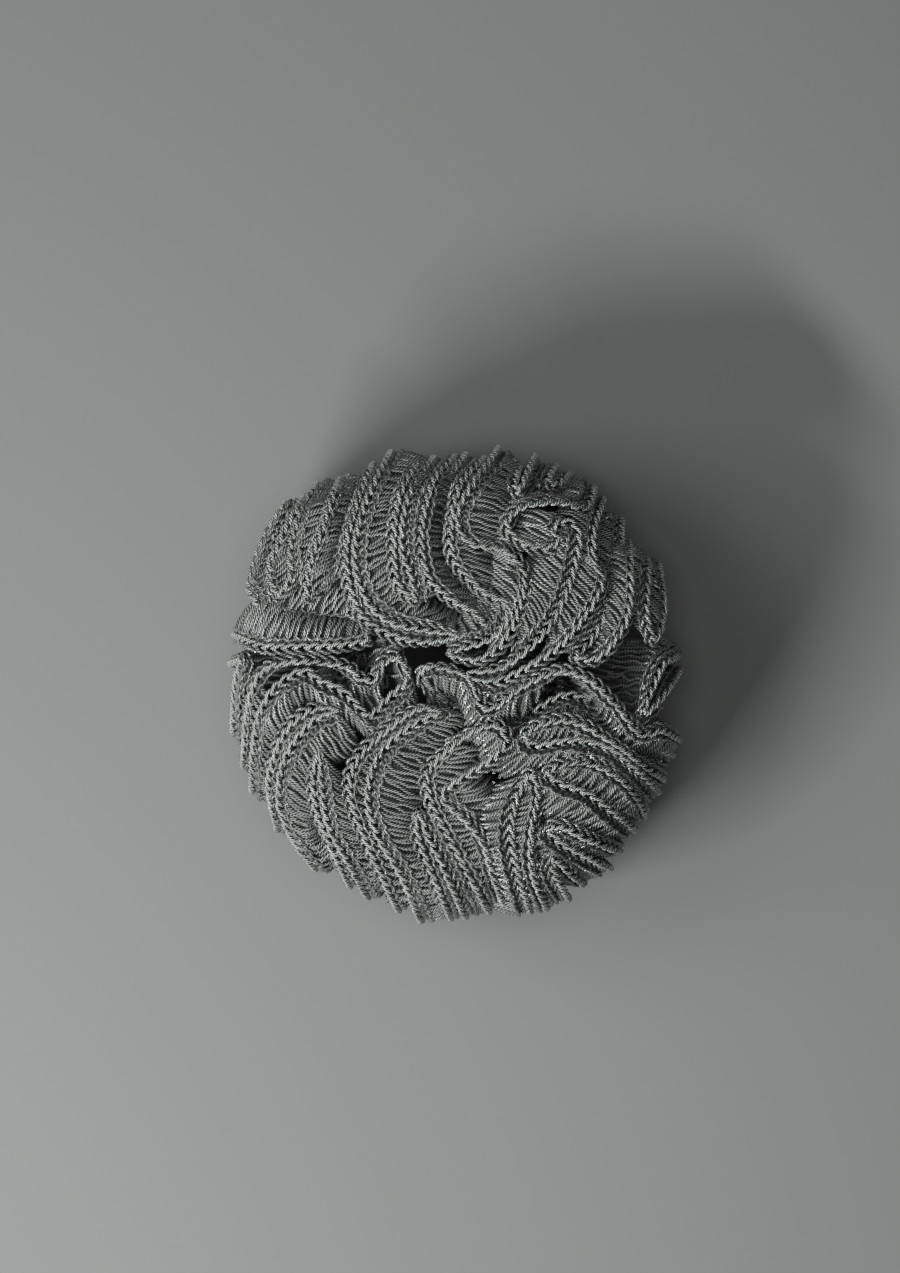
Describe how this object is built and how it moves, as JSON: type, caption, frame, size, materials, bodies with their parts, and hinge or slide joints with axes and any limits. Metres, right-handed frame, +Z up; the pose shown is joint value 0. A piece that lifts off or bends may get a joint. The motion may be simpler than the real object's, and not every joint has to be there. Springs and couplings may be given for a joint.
{
  "type": "crochet scrunchie",
  "caption": "Round hair scrunchie: an elastic ring in a crocheted sleeve, with a dense frill folded all round it and a narrow way through the middle for the hair.",
  "frame": {"origin": "middle of the scrunchie's box, on the surface it rests on", "axes": "+Z up through the middle of the ring, +X to the right and +Y away as the top is seen in the picture"},
  "size_m": [0.1048, 0.11, 0.05],
  "materials": {
    "elastic": "black braided cover over rubber",
    "yarn": "grey mercerised cotton, tightly twisted, with a soft shine"
  },
  "bodies": {
    "root": {"hair_elastic": "elastic", "foundation_round": "yarn", "ruffle_upper_left": "yarn", "ruffle_over_the_hole": "yarn", "ruffle_top_left": "yarn", "ruffle_top": "yarn", "ruffle_swirl": "yarn", "ruffle_right": "yarn", "ruffle_collar": "yarn", "ruffle_lower_right": "yarn", "ruffle_bottom_right": "yarn", "ruffle_bottom": "yarn", "ruffle_bottom_left": "yarn", "ruffle_lower_left": "yarn", "ruffle_left": "yarn"}
  },
  "joints": []
}
